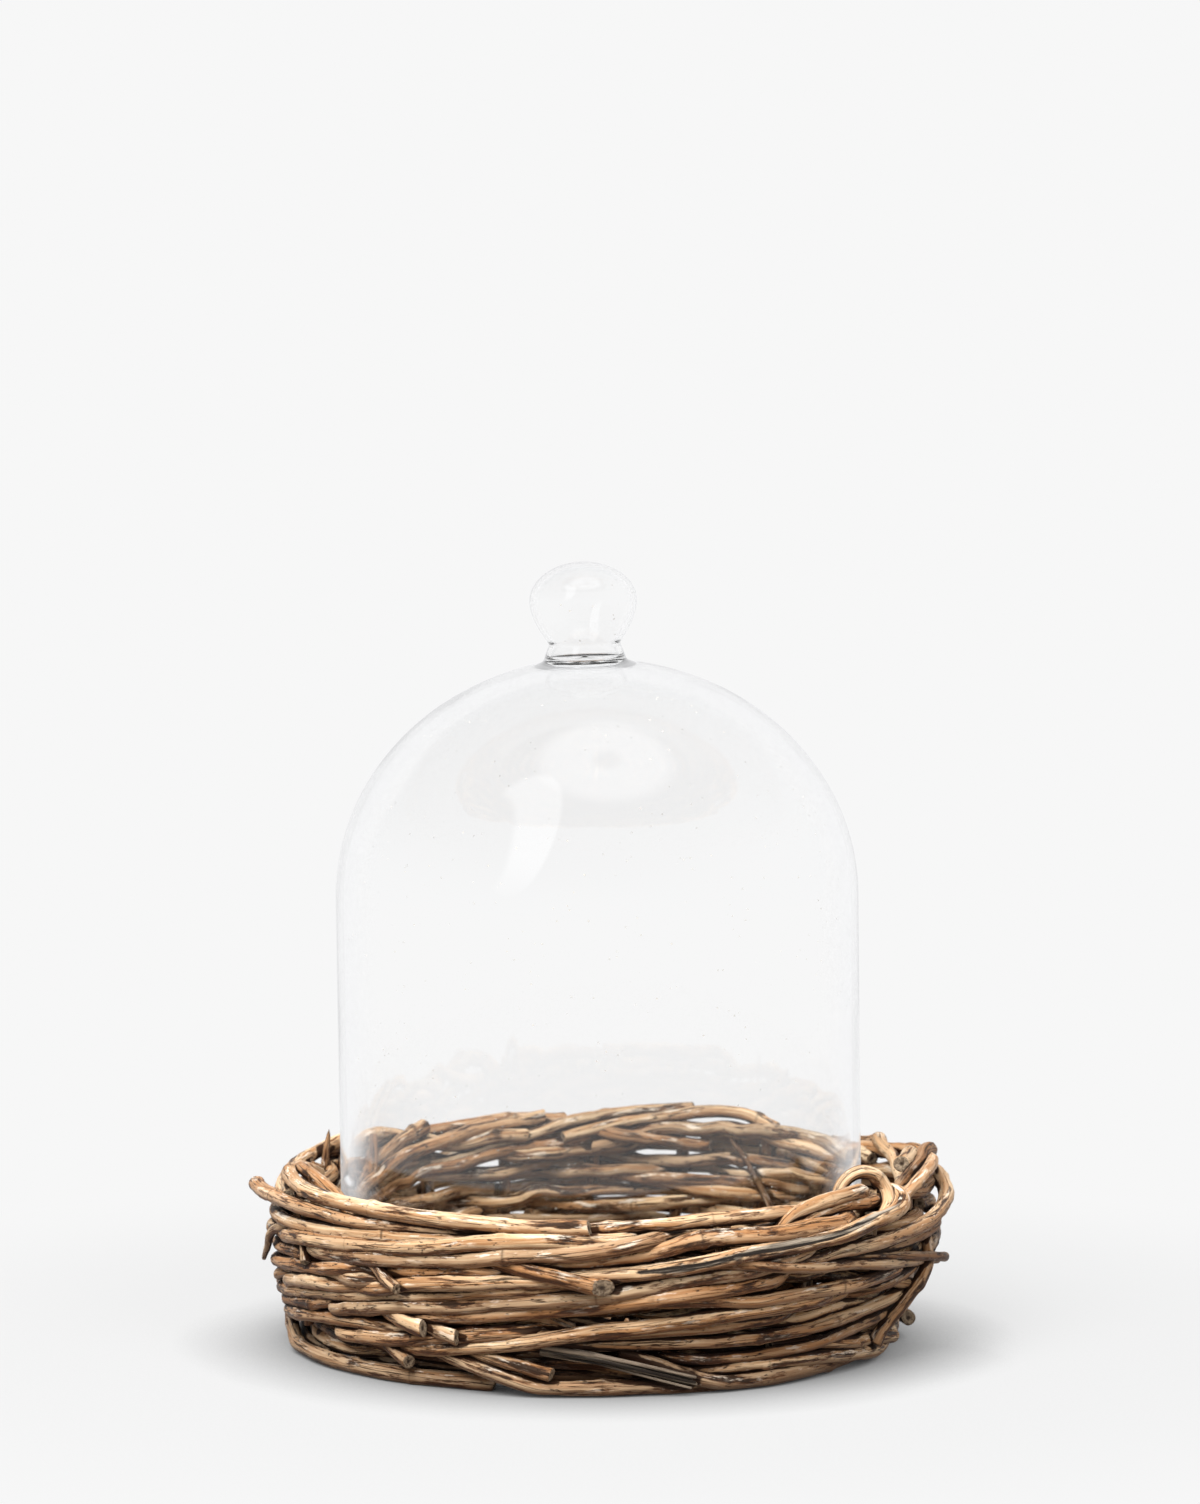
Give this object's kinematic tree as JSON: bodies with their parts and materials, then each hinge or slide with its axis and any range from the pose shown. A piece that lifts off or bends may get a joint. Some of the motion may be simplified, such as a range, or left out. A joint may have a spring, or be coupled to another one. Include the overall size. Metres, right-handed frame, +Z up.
{
  "type": "glass cloche",
  "caption": "Clear blown-glass bell with a hollow ball knob, standing in a shallow round tray woven from willow rods; lifts off to cover a plant.",
  "frame": {"origin": "the middle of the tray's floor plan, ends of the rods included, on the plane the tray stands on; the dome's axis stands 5 mm to the left of it and 2 mm behind", "axes": "+Z up along the dome's axis, front is -Y, +X to the right seen from the front"},
  "size_m": [0.2512, 0.2514, 0.2876],
  "materials": {
    "glass": "clear, fire-polished, faintly wavy",
    "willow_wall": "peeled willow rod, golden tan, satin, stained and cracked along the grain",
    "willow_border": "peeled willow rod, pale tan, rubbed smooth on its high side",
    "willow_inner": "peeled willow rod, brown, matt and dusty"
  },
  "bodies": {
    "basket": {"base_stick_1": "willow_inner", "base_stick_2": "willow_inner", "base_stick_3": "willow_inner", "base_stick_4": "willow_inner", "base_stick_5": "willow_inner", "base_stick_6": "willow_inner", "base_weaver_a": "willow_inner", "base_weaver_b": "willow_inner", "border_rod_1": "willow_border", "border_rod_2": "willow_border", "border_rod_3": "willow_border", "border_rod_4": "willow_border", "border_rod_5": "willow_border", "border_rod_6": "willow_border", "border_rod_7": "willow_border", "border_rod_8": "willow_border", "border_rod_9": "willow_border", "foot_rod_1": "willow_border", "foot_rod_2": "willow_border", "foot_rod_3": "willow_border", "foot_rod_4": "willow_border", "foot_rod_5": "willow_border", "foot_rod_6": "willow_border", "side_stake_01": "willow_inner", "side_stake_02": "willow_inner", "side_stake_03": "willow_inner", "side_stake_04": "willow_inner", "side_stake_05": "willow_inner", "side_stake_06": "willow_inner", "side_stake_07": "willow_inner", "side_stake_08": "willow_inner", "side_stake_09": "willow_inner", "side_stake_10": "willow_inner", "side_stake_11": "willow_inner", "side_stake_12": "willow_inner", "side_stake_13": "willow_inner", "side_stake_14": "willow_inner", "side_stake_15": "willow_inner", "side_stake_16": "willow_inner", "side_stake_17": "willow_inner", "side_stake_18": "willow_inner", "side_stake_19": "willow_inner", "side_stake_20": "willow_inner", "side_weaver_01": "willow_wall", "side_weaver_02": "willow_wall", "side_weaver_03": "willow_wall", "side_weaver_04": "willow_wall", "side_weaver_05": "willow_wall", "side_weaver_06": "willow_wall", "side_weaver_07": "willow_wall", "side_weaver_08": "willow_wall", "side_weaver_09": "willow_wall", "side_weaver_10": "willow_wall", "side_weaver_11": "willow_wall", "side_weaver_12": "willow_wall", "side_weaver_13": "willow_wall", "side_weaver_14": "willow_wall"},
    "cloche": {"glass_dome": "glass", "knob_collar": "glass", "glass_knob": "glass"}
  },
  "joints": [
    {"name": "cloche_lift", "type": "slide", "parent": "basket", "child": "cloche", "axis": [0, 0, 1], "range_m": [0, 0.25]}
  ]
}
